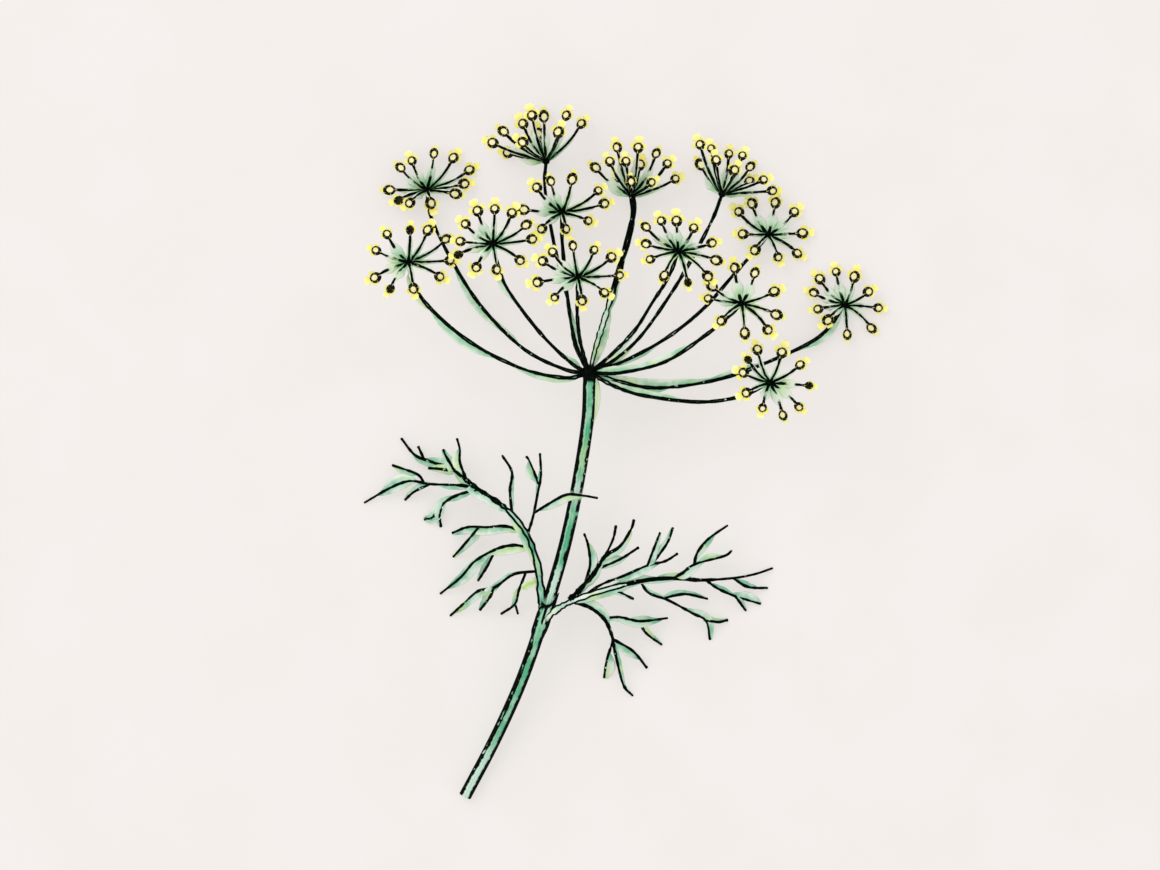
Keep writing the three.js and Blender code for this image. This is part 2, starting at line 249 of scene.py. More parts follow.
def keep(geometry, name, value, kind="FLOAT"):
    """The geometry with a value kept on its points."""
    settings = {"data_type": kind, "domain": "POINT"}
    inputs = {"Geometry": geometry, "Name": name, "Value": value}
    return geometry.node("GeometryNodeStoreNamedAttribute", settings, inputs)


def kept(wire, name, kind="FLOAT"):
    return wire.node("GeometryNodeInputNamedAttribute", {"data_type": kind}, {"Name": name})


def vector_math(operation, *terms):
    inputs = dict(enumerate(terms))
    return terms[0].node("ShaderNodeVectorMath", {"operation": operation}, inputs)


def scaled(vector, factor):
    return vector_math("SCALE", vector, factor)


def finished(geometry, skin):
    """The last nodes of a tree: plain mesh, smooth, with its skin."""
    plain = geometry.node("GeometryNodeRealizeInstances", {}, {"Geometry": geometry})
    plain = plain.node("GeometryNodeSetShadeSmooth", {}, {"Geometry": plain})
    plain = plain.node("GeometryNodeSetMaterial", {}, {"Geometry": plain, "Material": skin})
    plain.node("NodeGroupOutput", {}, {"Geometry": plain}, None)


KNOT_SPACING = 0.9 * MM  # between the thicker places of an uneven stalk
KNOT_MIDDLE = 0.46  # under the noise's own middle, so that stalks gain more girth than they lose


def stalk_tree():
    """Grows a ribbed, uneven stalk along each strand, then draws its sides out into the margins.
    On the result, side runs from -1 at the left to 1 at the right, top from -1 underneath to 1 on
    top, and edge is how many millimetres a point lies inside the rib's edge, negative outside."""
    start = growing_tree("stalk", {
        "Sides": ("Int", 12),
        "Ribs": ("Int", 0),
        "Rib depth": ("Float", 0.0),
        "Unevenness": ("Float", 0.0),
        "Skin": ("Material", None),
    })
    spot = start.node("GeometryNodeInputPosition")
    spot_x = spot.node("ShaderNodeSeparateXYZ", {}, {"Vector": spot})
    turn = spot.math("ARCTAN2", spot_x.out("Y"), spot_x)
    swell = start.out("Rib depth") * spot.math("COSINE", turn * start.out("Ribs")) + 1
    ring = {"Resolution": start.out("Sides"), "Radius": 1.0}
    section = spot.node("GeometryNodeCurvePrimitiveCircle", {}, ring)
    ribbed = {"Geometry": section, "Position": scaled(spot, swell)}
    section = spot.node("GeometryNodeSetPosition", {}, ribbed)

    line = spot.node("GeometryNodeMeshToCurve", {}, {"Mesh": start})
    line = spot.node("GeometryNodeSetCurveNormal", {"mode": "Z_UP"}, {"Curve": line})
    line = keep(line, "centre", spot, "FLOAT_VECTOR")
    knots = {"Vector": spot, "Scale": 1 / KNOT_SPACING, "Detail": 0.0}
    knots = spot.node("ShaderNodeTexNoise", {}, knots, "Fac")
    uneven = (knots - KNOT_MIDDLE) * start.out("Unevenness") + 1
    line = keep(line, "girth", kept(spot, "girth") * uneven)
    girth = kept(spot, "girth")
    swept = {"Curve": line, "Profile Curve": section, "Scale": girth, "Fill Caps": True}
    stalk = spot.node("GeometryNodeCurveToMesh", {}, swept)

    outward = vector_math("SUBTRACT", spot, kept(spot, "centre", "FLOAT_VECTOR"))
    across = kept(spot, "across", "FLOAT_VECTOR")
    height = spot.node("ShaderNodeSeparateXYZ", {}, {"Vector": outward}, "Z")
    stalk = keep(stalk, "side", vector_math("DOT_PRODUCT", outward, across) / girth)
    stalk = keep(stalk, "top", height / girth)
    side = kept(spot, "side")
    to_right = spot.math("MAXIMUM", side, 0.0) * kept(spot, "right")
    to_left = spot.math("MINIMUM", side, 0.0) * kept(spot, "left")
    widening = to_right + to_left
    stalk = keep(stalk, "edge", (girth - abs(side * girth) - abs(widening)) / MM)
    widened = {"Geometry": stalk, "Offset": scaled(across, widening)}
    stalk = spot.node("GeometryNodeSetPosition", {}, widened)
    finished(stalk, start.out("Skin"))
    return start


stalk_growth = stalk_tree()


def paint(code):
    """The colour of a six-figure code, as light."""
    parts = [int(code[i:i + 2], 16) / 255 for i in (0, 2, 4)]
    return (*(p / 12.92 if p < 0.04045 else ((p + 0.055) / 1.055) ** 2.4 for p in parts), 1.0)


def new_skin(name):
    """A material with nothing in it, and a bare wire to start its nodes from."""
    material = bpy.data.materials.new(name)
    material.use_nodes = True
    material.node_tree.nodes.clear()
    return material, Wire(material.node_tree)


def fact(bare, name):
    return bare.node("ShaderNodeAttribute", {"attribute_name": name}, {}, "Fac")


def object_place(bare):
    return bare.node("ShaderNodeTexCoord", {}, {}, "Object")


def blotches(place, size, detail=2.0):
    """Soft blotches of the given size, from 0 to 1 and around 0.5."""
    sizes = {"Vector": place, "Scale": 1 / size, "Detail": detail}
    return place.node("ShaderNodeTexNoise", {}, sizes, "Fac")


def cover(colour, relief, depth, **constants):
    """Closes a skin: its colour, its fine relief, and constants such as its roughness."""
    settings = {"Height": relief, "Distance": depth, "Strength": 0.6}
    bump = colour.node("ShaderNodeBump", {}, settings)
    inputs = {"Base Color": colour, "Normal": bump}
    inputs.update({name.replace("_", " "): value for name, value in constants.items()})
    surface = colour.node("ShaderNodeBsdfPrincipled", {}, inputs)
    surface.node("ShaderNodeOutputMaterial", {}, {"Surface": surface}, None)


RIB_BLACK = paint("010402")
DEEP_GREEN = paint("0C3A20")
TEAL = paint("5BB286")
MINT = paint("9CCFAE")
PALE_MINT = paint("D3EBDB")
LEAF_GREEN = paint("BCD892")
PALE_LEAF_GREEN = paint("CBE2AE")
THIN_MINT = paint("EEF1E6")


def near(wire, centre, reach):
    """1 where the wire has the value of the centre, down to 0 at the reach."""
    return 1 - abs(wire - centre).above(0.0, reach)


CROSSING = 0.711  # where a leaf thread passes over the stem, and both bands break off
GAP = 0.672  # where only the right band breaks off
STEP = 0.575  # where the right band steps inwards
JUICIEST = 0.62
YELLOWEST = 0.8
PALEST = ((0.72, 0.05), (0.51, 0.06))  # each with its reach


def stem_skin():
    """Dark bands along both sides, broken in places, and a teal middle that pales to mint, with a
    painted highlight in mint just inside the left band. Places along the stem are shares of its
    length, from the foot."""
    material, bare = new_skin("stem skin")
    place = object_place(bare)
    along = fact(bare, "along")
    side = fact(bare, "side")
    girth = fact(bare, "girth")
    edge = fact(bare, "edge")
    reach = (girth - edge * MM) / girth * side.math("SIGN", side)
    angle = side.math("ARCTAN2", reach, fact(bare, "top")) + (blotches(place, 3 * MM) - 0.5) * 0.5
    angle = angle + (blotches(place, 0.8 * MM) - 0.5) * 0.35

    def band(low, high, soft=0.07):
        return angle.above(low - soft, low + soft) * (1 - angle.above(high - soft, high + soft))

    crossing = near(along, CROSSING, 0.012) * (1 - abs(angle).above(1.3, 1.8))
    upper = along.above(0.42, 0.47)
    foot = 1 - along.above(0.02, 0.2)
    flecks = blotches(place, 1.5 * MM).above(0.6, 0.65) * (1 - upper)
    below_node = near(along, 0.4, 0.04)
    left_line = band(-1.9, -0.2 - upper * 0.2 - foot * 0.25 - below_node * 0.3)
    left_line = left_line * (1 - band(-0.8, -0.5, 0.06) * flecks)
    left_line = left_line * (1 - near(along, NODE_SHARE, 0.024))
    dashes = blotches(place, 1.4 * MM).above(0.58, 0.63) * along.above(0.6, 0.7)
    right_line = band(0.56, 1.9) * (1 - dashes * 0.85)
    right_line = right_line * (1 - near(along, NODE_SHARE + 0.02, 0.012))
    right_line = right_line * (1 - near(along, GAP, 0.007))
    right_line = right_line + band(0.3, 0.8, 0.1) * near(along, STEP, 0.02)
    under = band(2.35, 2.75) + band(-2.75, -2.35)
    rib = (left_line + right_line) * (1 - crossing) + under * 0.7
    rib = rib + along.above(0.961, 0.968) + fact(bare, "rim").above(0.86, 0.92)
    rib = rib.math("MINIMUM", rib, 1.0) * edge.above(-0.12, -0.02)

    juice = blotches(place, 4 * MM, 3.0).above(0.36, 0.6)
    juice = juice.math("MAXIMUM", juice, near(along, JUICIEST, 0.06) * 1.5)
    colour = juice.blend(MINT, TEAL)
    # A mint strip on the upper left of the stem's top, inside the left band, is a painted
    # highlight.
    colour = band(-0.5, -0.2, 0.15).blend(colour, MINT)
    pale = near(along, *PALEST[0]) + near(along, *PALEST[1]) + foot
    colour = pale.math("MINIMUM", pale, 0.85).blend(colour, PALE_MINT)
    colour = (near(along, YELLOWEST, 0.06) * 0.45).blend(colour, LEAF_GREEN)
    groove = angle.math("COSINE", angle * STEM_RIBS) * 0.5 + 0.5
    colour = (groove * 0.18).blend(colour, DEEP_GREEN)
    colour = edge.above(-0.1, 0.05).blend(PALE_LEAF_GREEN, colour)
    colour = edge.above(-1.9, -0.1).blend(THIN_MINT, colour)
    dark = (blotches(place, 0.9 * MM).above(0.55, 0.85) * 0.5).blend(RIB_BLACK, DEEP_GREEN)
    colour = rib.blend(colour, dark)
    cover(colour, blotches(place, 0.35 * MM), 0.05 * MM, Roughness=0.75, Specular_IOR_Level=0.05)
    return material


def pith_skin():
    """The cut face: pale spongy pith, with yellow-green pores."""
    material, bare = new_skin("pith")
    place = object_place(bare)
    pores = blotches(place, 0.25 * MM, 4.0)
    colour = pores.above(0.35, 0.65).blend(paint("C4D9A0"), paint("EEF3DC"))
    cover(colour, pores, 0.08 * MM, Roughness=0.8, Specular_IOR_Level=0.2)
    return material


def stem_height(share, length):
    return between(STEM_GIRTH, HUB_HEIGHT, share)


stem_line = climbing(STEM_ROUTE, stem_height)
hub_centre = stem_line[-1]
stem_rise = (stem_line[-1] - stem_line[-2]).normalized()
hub_steps = [step * 0.1 * HUB_RADIUS for step in range(-12, 11)]
stem_line = [p for p in stem_line if (p - hub_centre).length > 1.3 * HUB_RADIUS]
stem_line += [hub_centre + stem_rise * step for step in hub_steps]


def stem_girth(share):
    """Even up to the hub, then the outline of a ball round the hub's centre."""
    from_hub = (share - 1) * stem_length + HUB_RADIUS
    ball = math.sqrt(max(HUB_RADIUS ** 2 - from_hub ** 2, 1e-9))
    return ball if from_hub > 0 else max(STEM_GIRTH, ball)


stem_length = sum((there - here).length for here, there in zip(stem_line, stem_line[1:]))
hub_web = wings((0.88, 0.978, 1.4))
stem_strand = (stem_line, stem_girth, none, hub_web)
stem = grow("dill_stem", routed("stem", [stem_strand]), stalk_growth, {
    "Sides": 60, "Ribs": STEM_RIBS, "Rib depth": STEM_RIB_DEPTH, "Skin": stem_skin()})

CUT_RINGS = ((0.97, -0.05), (0.9, -0.06), (0.66, 0.02), (0.56, 0.25), (0.5, 3.0))


def cut_foot(piece, foot, rise):
    """Opens the flat foot into a bevelled rim, a ring of pith and a hollow. Each ring of the cut
    has its size against the stem's and its depth in millimetres."""
    cut = bmesh.new()
    cut.from_mesh(piece.data)
    face = min((f for f in cut.faces if len(f.verts) > 8),
               key=lambda f: (f.calc_center_median() - foot).length)
    ring = list(face.verts)
    cut.faces.remove(face)
    for size, deep in CUT_RINGS:
        size /= (ring[0].co - foot).length / STEM_GIRTH
        inner = [cut.verts.new(foot + rise * deep * MM
                               + (v.co - foot - (v.co - foot).dot(rise) * rise) * size)
                 for v in ring]
        for i, corner in enumerate(ring):
            j = (i + 1) % len(ring)
            wall = cut.faces.new((corner, ring[j], inner[j], inner[i]))
            wall.smooth = True
            wall.material_index = 1
        ring = inner
    cut.faces.new(ring).material_index = 1
    cut.to_mesh(piece.data)
    cut.free()
    piece.data.materials.append(pith_skin())


cut_foot(stem, stem_line[0], (stem_line[1] - stem_line[0]).normalized())
stands_for("stem", stem)


# ---- Rays ----
# Thirteen thin stalks spread from the hub like the ribs of an umbrella. Each is dark and ribbed,
# flares where it joins the hub, and has a pale green edge on its outer side.

# Routes, knots and florets are plan squares. "height" is how many millimetres the knot stands
# above the table, and without one the umbellet rests there. "slope" is how steeply the ray leaves
# the hub. "left" and "right" are the patches of its pale edges. The webs between its pedicels are
# widest on the way that "web" points.
RAYS = [
    dict(route=[(566, 370), (525, 350), (485, 311), (456, 268), (432, 220)], knot=(427, 190),
         slope=-0.7, left=[(0.4, 0.68, 1.4)], right=[(0.3, 0.42, 0.5)], web=(-2, -1),
         florets=[(401, 168), (412, 161), (434, 154), (453, 158), (469, 170), (464, 184),
                  (455, 194), (431, 203), (410, 203), (399, 200), (390, 190)]),
    dict(route=[(565, 378), (520, 368), (470, 342), (432, 310), (414, 285)], knot=(409, 263),
         height=27, slope=0.14, left=[(0.03, 0.3, 1.1), (0.4, 0.74, 1.8), (0.76, 0.95, 1.3)],
         web=(-1, 0.1),
         florets=[(388, 235), (411, 231), (428, 231), (446, 240), (450, 261), (440, 277),
                  (414, 289), (391, 289), (376, 278), (377, 251)]),
    dict(route=[(582, 361), (575, 345), (571, 323), (566, 292), (554, 244), (545, 190)],
         knot=(546, 161), fan=True, slope=-0.95, right=[(0.1, 0.32, 0.8)], web=(-1, -1),
         florets=[(493, 143), (504, 132), (523, 124), (532, 116), (544, 117), (566, 116),
                  (581, 124), (558, 133), (539, 134), (523, 143), (508, 153)]),
    dict(route=[(583, 361), (576, 345), (571, 323), (567, 292), (562, 240)], knot=(562, 213),
         height=12, slope=-0.03, web=(-2, -1),
         florets=[(537, 188), (551, 182), (572, 180), (598, 191), (604, 204), (588, 221),
                  (566, 229), (542, 229), (524, 210)]),
    dict(route=[(572, 364), (540, 333), (508, 290), (497, 262)], knot=(493, 245), height=33,
         slope=0.84, left=[(0.64, 0.86, 1.3)], right=[(0.04, 0.16, 0.8)], web=(-1, -0.2),
         florets=[(466, 225), (478, 212), (495, 210), (512, 214), (526, 226), (532, 240),
                  (520, 261), (497, 270), (477, 268), (459, 255), (461, 242)]),
    dict(route=[(595, 350), (602, 327), (609, 304), (625, 250), (633, 215)], knot=(632, 196),
         fan=True, slope=-0.9, stout=1.8, right=[(0.02, 0.36, 1.4), (0.3, 0.6, 0.4)],
         web=(-0.2, -1),
         florets=[(596, 168), (610, 162), (617, 148), (638, 148), (656, 154), (667, 164),
                  (675, 179), (651, 183), (640, 165), (631, 182), (619, 178), (626, 162)]),
    dict(route=[(583, 353), (579, 335), (577, 309)], knot=(578, 278), height=36, slope=1,
         web=(-1, 0.1),
         florets=[(543, 262), (553, 253), (573, 247), (594, 251), (611, 258), (619, 276),
                  (604, 293), (582, 301), (555, 298), (538, 283)]),
    dict(route=[(612, 354), (635, 330), (652, 303), (668, 278)], knot=(678, 252), height=36,
         slope=0.7, dark_root=True, right=[(0.1, 0.35, 0.7)], web=(0.4, -1),
         florets=[(646, 228), (661, 222), (676, 222), (693, 229), (711, 244), (715, 261),
                  (707, 277), (687, 283), (664, 276), (650, 260), (646, 245)]),
    dict(route=[(614, 360), (640, 337), (668, 298), (690, 262), (712, 220)], knot=(722, 194),
         fan=True, slope=-0.84, dark_root=True, right=[(0.09, 0.22, 0.6)], web=(0.2, -1),
         florets=[(700, 145), (711, 149), (701, 165), (716, 161), (729, 154), (742, 156),
                  (750, 167), (734, 171), (749, 181), (763, 180), (772, 191)]),
    dict(route=[(622, 362), (665, 339), (703, 309), (735, 273), (753, 253)], knot=(768, 235),
         slope=-0.03, dark_root=True, right=[(0.09, 0.3, 0.6)], web=(0.7, -1),
         florets=[(739, 212), (752, 204), (775, 203), (794, 212), (802, 233), (797, 253),
                  (778, 257), (755, 250), (743, 234)]),
    dict(route=[(620, 373), (665, 362), (703, 337), (727, 318)], knot=(741, 304), height=32,
         slope=0.78, left=[(0.02, 0.26, 1.5), (0.2, 0.62, 1.3)], web=(-0.3, -1),
         florets=[(734, 269), (754, 274), (773, 292), (775, 315), (767, 330), (744, 333),
                  (721, 321), (708, 299), (712, 287)]),
    dict(route=[(620, 382), (660, 388), (720, 379), (775, 359), (820, 336)], knot=(845, 305),
         slope=-0.78, flare=0.26 * MM, left=[(0.05, 0.45, 1.9), (0.44, 0.64, 1.0)],
         right=[(0.04, 0.3, 1.0), (0.8, 0.97, 1.3)], web=(-1, -0.6),
         florets=[(820, 279), (836, 272), (854, 277), (868, 292), (878, 308), (871, 328),
                  (847, 334), (828, 320), (818, 309), (814, 293)]),
    dict(route=[(616, 387), (645, 396), (700, 402), (742, 396)], knot=(769, 383), height=26,
         slope=0.09, flare=0.26 * MM, left=[(0.06, 0.5, 1.1)], web=(0.7, 1),
         florets=[(743, 373), (748, 360), (757, 350), (781, 353), (799, 365), (808, 386),
                  (798, 407), (782, 415), (762, 408), (746, 393)]),
]
RAY_GIRTH = 0.45 * MM
RAY_RIBS = 5
RAY_START = 0.6 * HUB_RADIUS  # from the hub's middle
RAY_FLARE = 0.06 * MM
FLARE_SHARE = 0.22
ARRIVAL_SLOPE = 0.5
DOME_RISE = 5 * MM
DOME_DROP = 1 * MM
FAN_DEPTH = 0.55
FACE_LIFT = 2.2  # how far a floret looks up for each millimetre that it looks outwards
FLORET_DEPTH = 1.3 * MM  # from a floret's middle to its foot


def floret_facing(offset):
    outward = Vector((offset.x, offset.y, 0)).normalized()
    return (outward + Vector((0, 0, FACE_LIFT))).normalized()


def floret_offsets(ray):
    """Each floret's place against the knot: on a dome over it, or spread round a fan."""
    offsets = [on_plan(*square) - on_plan(*ray["knot"]) for square in ray["florets"]]
    reach = max(offset.length for offset in offsets)
    for index, offset in enumerate(offsets):
        share = offset.length / reach
        if ray.get("fan"):
            depth = FAN_DEPTH * reach * math.sqrt(1 - share ** 2)
            offset.z = depth if index % 2 else -depth
        else:
            offset.z = DOME_RISE - (DOME_RISE + DOME_DROP) * share ** 2
    return offsets


def knot_of(ray):
    """The knot's place: at the ray's own height, or with the lowest floret on the table."""
    lowest = min(o.z - FLORET_DEPTH * floret_facing(o).z for o in floret_offsets(ray))
    return on_plan(*ray["knot"], ray["height"] * MM if "height" in ray else -lowest)


def ray_line(ray):
    """From inside the hub to the knot, on a cubic that leaves the hub at the ray's own slope."""
    knot = knot_of(ray)
    arrival = ARRIVAL_SLOPE if "height" in ray else 0

    def height_at(share, length):
        left = 1 - share
        bow = length * share * left * (ray["slope"] * left - arrival * share)
        return between(HUB_HEIGHT, knot.z, share * share * (3 - 2 * share)) + bow

    line = climbing([HUB, *ray["route"], ray["knot"]], height_at)
    return [p for p in line if (p - hub_centre).length > RAY_START]


def dark_ribbed_skin(name, line, margin, heart, dark_foot=-1.0, dark_from=9.0, pale_from=9.0,
                     wear=0.8):
    """Tissue with a nearly black rib inside its edge, as wide as the line, and black at its foot.
    The rib widens beyond one share of its length. Its margin and its heart each have a pale, a full
    and a yellowish colour. The margin pales towards its edge, and on its way to another share."""
    material, bare = new_skin(name)
    place = object_place(bare)
    along = fact(bare, "along")
    edge = fact(bare, "edge") + (blotches(place, 1.2 * MM) - 0.5) * 0.26
    flush = blotches(place, 5 * MM).above(0.38, 0.6)
    warm = blotches(place, 8 * MM).above(0.52, 0.66)

    def tint(pale, full, yellow):
        return (warm * 0.8).blend(flush.blend(paint(pale), paint(full)), paint(yellow))

    fading = (edge + blotches(place, 2.5 * MM) * 1.2).above(-1.4, 0.6)
    fading = fading * (1 - along.above(0.1, pale_from))
    if dark_from < 1:
        line = line + along.above(dark_from, dark_from + 0.2) * 0.5
    edging = fading.blend(THIN_MINT, tint(*margin))
    colour = edge.above(0.0, line).blend(edging, tint(*heart))
    worn = blotches(place, 1.1 * MM).above(0.67, 0.72) * along.above(0.12, 0.2) * wear
    rib = edge.above(-0.07, 0.05) * (1 - edge.above(line - 0.06, line + 0.06))
    rib = rib * (1 - worn)
    foot = 1 - along.above(dark_foot, dark_foot + 0.03)
    rib = rib.math("MINIMUM", rib + foot, 1.0)
    dark = (blotches(place, 0.8 * MM).above(0.5, 0.85) * 0.45).blend(RIB_BLACK, DEEP_GREEN)
    fine = blotches(place, 0.3 * MM)
    cover(rib.blend(colour, dark), fine, 0.04 * MM, Roughness=0.8, Specular_IOR_Level=0.03)
    return material


RAY_TINTS = ("C0DDC2", "90C69D", "CCE0A8"), ("DCEEDD", "93CDA9", "CBE3A8")
ray_skin = dark_ribbed_skin("ray skin", 0.56, *RAY_TINTS, dark_foot=0.01)
stout_ray_skin = dark_ribbed_skin("stout ray skin", 0.4, *RAY_TINTS, dark_foot=0.01, dark_from=0.35)
dark_rooted_ray_skin = dark_ribbed_skin("dark rooted ray skin", 0.56, *RAY_TINTS, dark_foot=0.09)


def make_ray(number, ray):
    def ray_girth(share):
        stout = 1 + (ray.get("stout", 1) - 1) * min(1.0, 4 * share)
        flare = max(0.0, 1 - share / FLARE_SHARE) ** 2
        return stout * RAY_GIRTH + ray.get("flare", RAY_FLARE) * flare

    skin = stout_ray_skin if "stout" in ray else ray_skin
    if "dark_root" in ray:
        skin = dark_rooted_ray_skin
    margins = [wings(*ray.get(hand, [])) for hand in ("left", "right")]
    strand = (ray_line(ray), ray_girth, *margins)
    piece = grow(f"dill_ray_{number}", routed("ray", [strand]), stalk_growth, {
        "Sides": 20, "Ribs": RAY_RIBS, "Rib depth": 0.06, "Unevenness": 0.9, "Skin": skin})
    stands_for(f"ray_{number}", piece)


for number, ray in enumerate(RAYS, 1):
    make_ray(number, ray)


# ---- Umbellets ----
# Each ray ends in a dark knot with nine to twelve short pedicels, fine dark threads with pale
# green webs near the knot. They arch up and out, so that the florets stand on a low dome or a fan.

KNOT_RADIUS = 0.95 * MM
PEDICEL_GIRTH = 0.3 * MM
PEDICEL_ARCH = (0.7, 0.42, 0.85)  # shares of the way to the floret
PEDICEL_ENTRY = 0.6 * MM  # a pedicel ends this far below its floret's middle
WIDEST_WEB = 2.6 * MM
NARROWEST_WEB = 0.35 * MM
WEB_END = 0.8  # how far along the pedicels the webs reach
WEB_CLOSING = 4 * MM  # a web's width at its end, for each share of the way left


def pedicel_line(knot, offset, points=9):
    foot = offset - floret_facing(offset) * PEDICEL_ENTRY
    arch = Vector([share * part for share, part in zip(PEDICEL_ARCH, offset)])
    bent = interpolate_bezier(Vector(), arch * 2 / 3, foot + (arch - foot) * 2 / 3, foot, points)
    return [knot + p for p in bent]


def pedicel_girth(share):
    foot = 0.6 * max(0.0, 1 - share / 0.3)
    head = 0.3 * max(0.0, share - 0.8) / 0.2
    return PEDICEL_GIRTH * (1 + foot + head)


def turn_between(offset, other):
    """The angle from one pedicel to another, turning right, from 0 to a full circle."""
    turn = math.atan2(offset.y, offset.x) - math.atan2(other.y, other.x)
    return turn % (2 * math.pi)


def webs(ray, offset, offsets):
    """The webs on a pedicel's left and right. Each reaches halfway to the next pedicel there."""
    way = Vector((ray["web"][0], -ray["web"][1])).normalized()
    full = between(NARROWEST_WEB, WIDEST_WEB, max(0.0, way.dot(offset.xy.normalized())) ** 1.5)
    knot = knot_of(ray)
    line = pedicel_line(knot, offset)
    others = [other for other in offsets if other is not offset]

    def web(turn_to):
        beside = pedicel_line(knot, min(others, key=turn_to), 40)
        widths = {}
        for point, share in zip(line, shares(line)):
            halfway = min((other.xy - point.xy).length for other in beside) / 2
            closing = WEB_CLOSING * max(0.0, WEB_END - share)
            widths[share] = max(0.0, min(halfway - PEDICEL_GIRTH / 2, full, closing))
        return widths.get

    return (web(lambda other: turn_between(other, offset)),
            web(lambda other: turn_between(offset, other)))


def knot_strand(ray):
    """A short fat strand in line with the ray: the knot."""
    knot = knot_of(ray)
    line = ray_line(ray)
    way = (line[-1] - line[-3]).normalized()
    steps = [-0.98, -0.8, -0.5, 0, 0.5, 0.8, 0.98]

    def ball(share):
        return KNOT_RADIUS * math.sqrt(max(1 - (share * 1.96 - 0.98) ** 2, 0.01))

    return [knot + way * KNOT_RADIUS * step for step in steps], ball, none, none


pedicel_skin = dark_ribbed_skin(
    "pedicel skin", 2.0, ("B2D6AE", "74B57A", "B6D484"), ("C4E3CF", "6DB98F", "C3DF9F"),
    pale_from=0.9, wear=0.3)


def make_pedicels(number, ray):
    knot = knot_of(ray)
    strands = []
    offsets = floret_offsets(ray)
    for offset in offsets:
        line = pedicel_line(knot, offset)
        strands.append((line, pedicel_girth, *webs(ray, offset, offsets)))
    strands.append(knot_strand(ray))
    piece = grow(f"pedicels_{number}", routed("pedicels", strands), stalk_growth, {
        "Sides": 10, "Unevenness": 1.1, "Skin": pedicel_skin})
    stands_for(f"umbellet_{number}", piece)


for number, ray in enumerate(RAYS, 1):
    make_pedicels(number, ray)


# ---- Florets ----
# A floret is a tiny dark cup with a thick rim, a pale two-lobed cushion inside it, five yellow
# petals with their tips rolled in, larger on the outer side, and five threadlike stamens.

# A floret's sizes are in millimetres. Outlines are pairs of a radius and a height.
CUP, CUSHION, PETAL, ANTHER = range(4)
CUP_RADIUS = 0.93
CUP_OUTLINE = ((0.2, -1.0), (0.62, -0.75), (0.98, -0.25), (1.0, 0.1), (0.8, 0.12))
RIM_THICKNESS = 0.33
RIM_HEIGHT = 0.1
RIM_SIDES = 16
CUSHION_OUTLINE = ((0.88, 0.05), (0.74, 0.26), (0.38, 0.34), (0.1, 0.24))
CUSHION_LOBES = 0.25
PETALS = 5
PETAL_THICKNESS = 0.03
PETAL_OUTLINE = ((0, 0.5), (0.35, 0.85), (0.7, 1), (0.92, 0.75), (1, 0.35))  # share, breadth
FILAMENT = ((0.7, 0.2), (1.25, 0.75), (1.55, 0.85))
FILAMENT_CORNERS = [Vector((0.05 * math.cos(a), 0.05 * math.sin(a), 0.04)) for a in (0, 2.1, 4.2)]
ANTHER_OUTLINE = ((0.03, -0.12), (0.15, 0), (0.03, 0.12))


def ring_of(radius, height, sides, lobes=0.0):
    """A level ring of points, widening in at its waist for two lobes."""
    turns = [2 * math.pi * i / sides for i in range(sides)]
    return [Vector((radius * math.cos(t), radius * (1 - lobes * math.cos(t) ** 2) * math.sin(t),
                    height)) for t in turns]


def loft(body, part, rings, closed=False):
    """Skins one ring of points after another. The ends are capped unless the rings close up."""
    rows = [[body.verts.new(point) for point in ring] for ring in rings]
    faces = []
    for here, there in zip(rows, rows[1:] + rows[:1] if closed else rows[1:]):
        for i, corner in enumerate(here):
            j = (i + 1) % len(here)
            faces.append(body.faces.new((corner, here[j], there[j], there[i])))
    if not closed:
        faces += [body.faces.new(reversed(rows[0])), body.faces.new(rows[-1])]
    for face in faces:
        face[body.faces.layers.int["part"]] = part
    return rows


def rim_rings(thick_side):
    """Sections round the cup's rim, thicker towards one side."""
    rings = []
    for i in range(RIM_SIDES):
        t = 2 * math.pi * i / RIM_SIDES
        thickness = RIM_THICKNESS * (1 + 0.35 * math.cos(t - thick_side))
        out = Vector((math.cos(t), math.sin(t), 0))
        centre = CUP_RADIUS * out + Vector((0, 0, RIM_HEIGHT))
        turns = [2 * math.pi * k / 5 for k in range(5)]
        rings.append([centre + thickness * (out * math.cos(k) + Vector((0, 0, math.sin(k))))
                      for k in turns])
    return rings


def petal_rings(t, length, width, curl):
    """Lens-shaped sections from the rim outwards, the last of them rolled up and back."""
    out = Vector((math.cos(t), math.sin(t), 0))
    aside = Vector((-out.y, out.x, 0))
    up = Vector((0, 0, 1))
    rings = []
    for share, broad in PETAL_OUTLINE:
        bend = share * curl
        reach = CUP_RADIUS * 0.9 + length * math.sin(bend) / curl
        middle = out * reach + up * (0.05 + length * (1 - math.cos(bend)) / curl)
        half = aside * width * broad / 2
        thick = (up * math.cos(bend) - out * math.sin(bend)) * PETAL_THICKNESS
        dip = up * 0.07 * width * broad
        rings.append([middle - half, middle - dip + thick, middle + half, middle - dip - thick])
    return rings


def settled(name, body):
    """The body as an object, with its faces turned outwards."""
    bmesh.ops.recalc_face_normals(body, faces=body.faces)
    mesh = bpy.data.meshes.new(name)
    body.to_mesh(mesh)
    body.free()
    return placed(name, mesh)


def sharpen(rows):
    """Creases the two sides of a petal, so that each face of it is lit as a flat sheet."""
    for here, there in zip(rows, rows[1:]):
        for corner in (0, 2):
            edge = next(e for e in here[corner].link_edges if there[corner] in e.verts)
            edge.smooth = False


